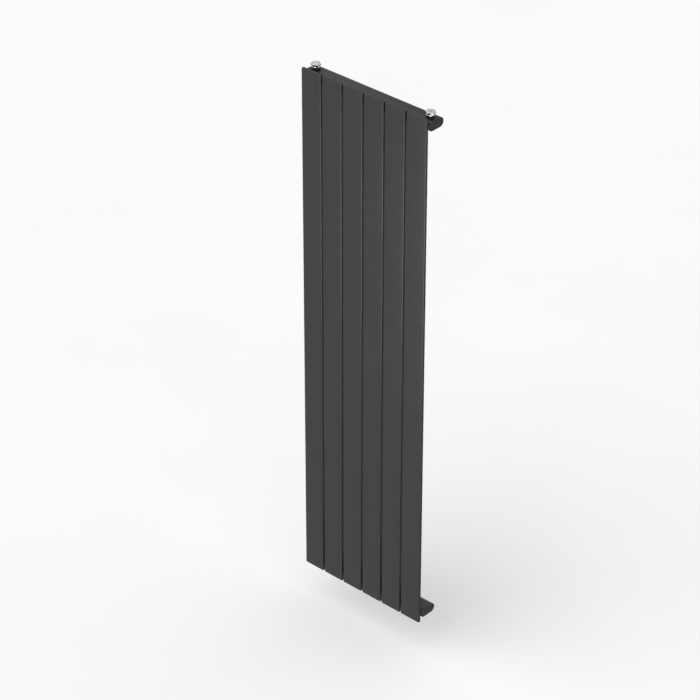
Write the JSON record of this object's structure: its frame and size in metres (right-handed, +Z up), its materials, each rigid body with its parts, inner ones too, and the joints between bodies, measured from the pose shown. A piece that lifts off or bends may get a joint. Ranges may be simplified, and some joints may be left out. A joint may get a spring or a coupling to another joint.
{
  "type": "vertical flat panel radiator",
  "caption": "Tall wall-hung hot-water radiator: flat vertical panels on flat-oval headers behind, chrome vent and plug on top, valve bosses below, adjustable wall brackets.",
  "frame": {"origin": "on the wall plane, at the centre of the four main wall fixing slots", "axes": "+Y into the wall, the room is at -Y; +X to the right seen from the room; +Z up"},
  "size_m": [0.491, 0.1, 1.8065],
  "materials": {
    "powder_coat": "satin, very fine texture",
    "chrome": "polished",
    "seal_rubber": "matt",
    "plated_brass": "plated",
    "bracket_coat": "satin",
    "sleeve_nylon": "moulded",
    "zinc_steel": "bright zinc plated"
  },
  "bodies": {
    "wall_feet": {"wall_foot_top_left": "bracket_coat", "wall_foot_top_right": "bracket_coat", "wall_foot_bottom_left": "bracket_coat", "wall_foot_bottom_right": "bracket_coat", "clamp_bolts": "zinc_steel", "clamp_washers": "zinc_steel", "clamp_nuts": "zinc_steel"},
    "hook_arms": {"hook_arm_top_left": "bracket_coat", "hook_arm_top_right": "bracket_coat", "hook_arm_bottom_left": "bracket_coat", "hook_arm_bottom_right": "bracket_coat", "arm_sleeve_top_left": "sleeve_nylon", "arm_sleeve_top_right": "sleeve_nylon", "arm_sleeve_bottom_left": "sleeve_nylon", "arm_sleeve_bottom_right": "sleeve_nylon"},
    "radiator": {"bottom_header_cap_left": "powder_coat", "bottom_header_cap_right": "powder_coat", "bottom_header_tube": "powder_coat", "bottom_sockets": "powder_coat", "flow_boss": "powder_coat", "hanging_strap_bottom_left": "powder_coat", "hanging_strap_bottom_right": "powder_coat", "hanging_strap_top_left": "powder_coat", "hanging_strap_top_right": "powder_coat", "panel_bottom_cap_1": "powder_coat", "panel_bottom_cap_2": "powder_coat", "panel_bottom_cap_3": "powder_coat", "panel_bottom_cap_4": "powder_coat", "panel_bottom_cap_5": "powder_coat", "panel_bottom_cap_6": "powder_coat", "panel_top_cap_1": "powder_coat", "panel_top_cap_2": "powder_coat", "panel_top_cap_3": "powder_coat", "panel_top_cap_4": "powder_coat", "panel_top_cap_5": "powder_coat", "panel_top_cap_6": "powder_coat", "panel_tube_1": "powder_coat", "panel_tube_2": "powder_coat", "panel_tube_3": "powder_coat", "panel_tube_4": "powder_coat", "panel_tube_5": "powder_coat", "panel_tube_6": "powder_coat", "plug_body": "chrome", "plug_boss": "powder_coat", "plug_seal": "seal_rubber", "plug_trim_ring": "chrome", "return_boss": "powder_coat", "top_header_cap_left": "powder_coat", "top_header_cap_right": "powder_coat", "top_header_tube": "powder_coat", "top_sockets": "powder_coat", "vent_body": "chrome", "vent_boss": "powder_coat", "vent_seal": "seal_rubber", "vent_trim_ring": "chrome"},
    "bleed_screw": {"bleed_screw": "plated_brass"}
  },
  "joints": [
    {"name": "depth_adjust", "type": "slide", "parent": "wall_feet", "child": "hook_arms", "axis": [0, -1, 0], "range_m": [-0.006, 0.006]},
    {"name": "lift_off", "type": "slide", "parent": "hook_arms", "child": "radiator", "axis": [0, 0, 1], "range_m": [0, 0.02]},
    {"name": "bleed_turn", "type": "hinge", "parent": "radiator", "child": "bleed_screw", "pos_m": [0.223, -0.0585, 0.9], "axis": [0, 0, 1], "range_deg": [0, 270]}
  ]
}
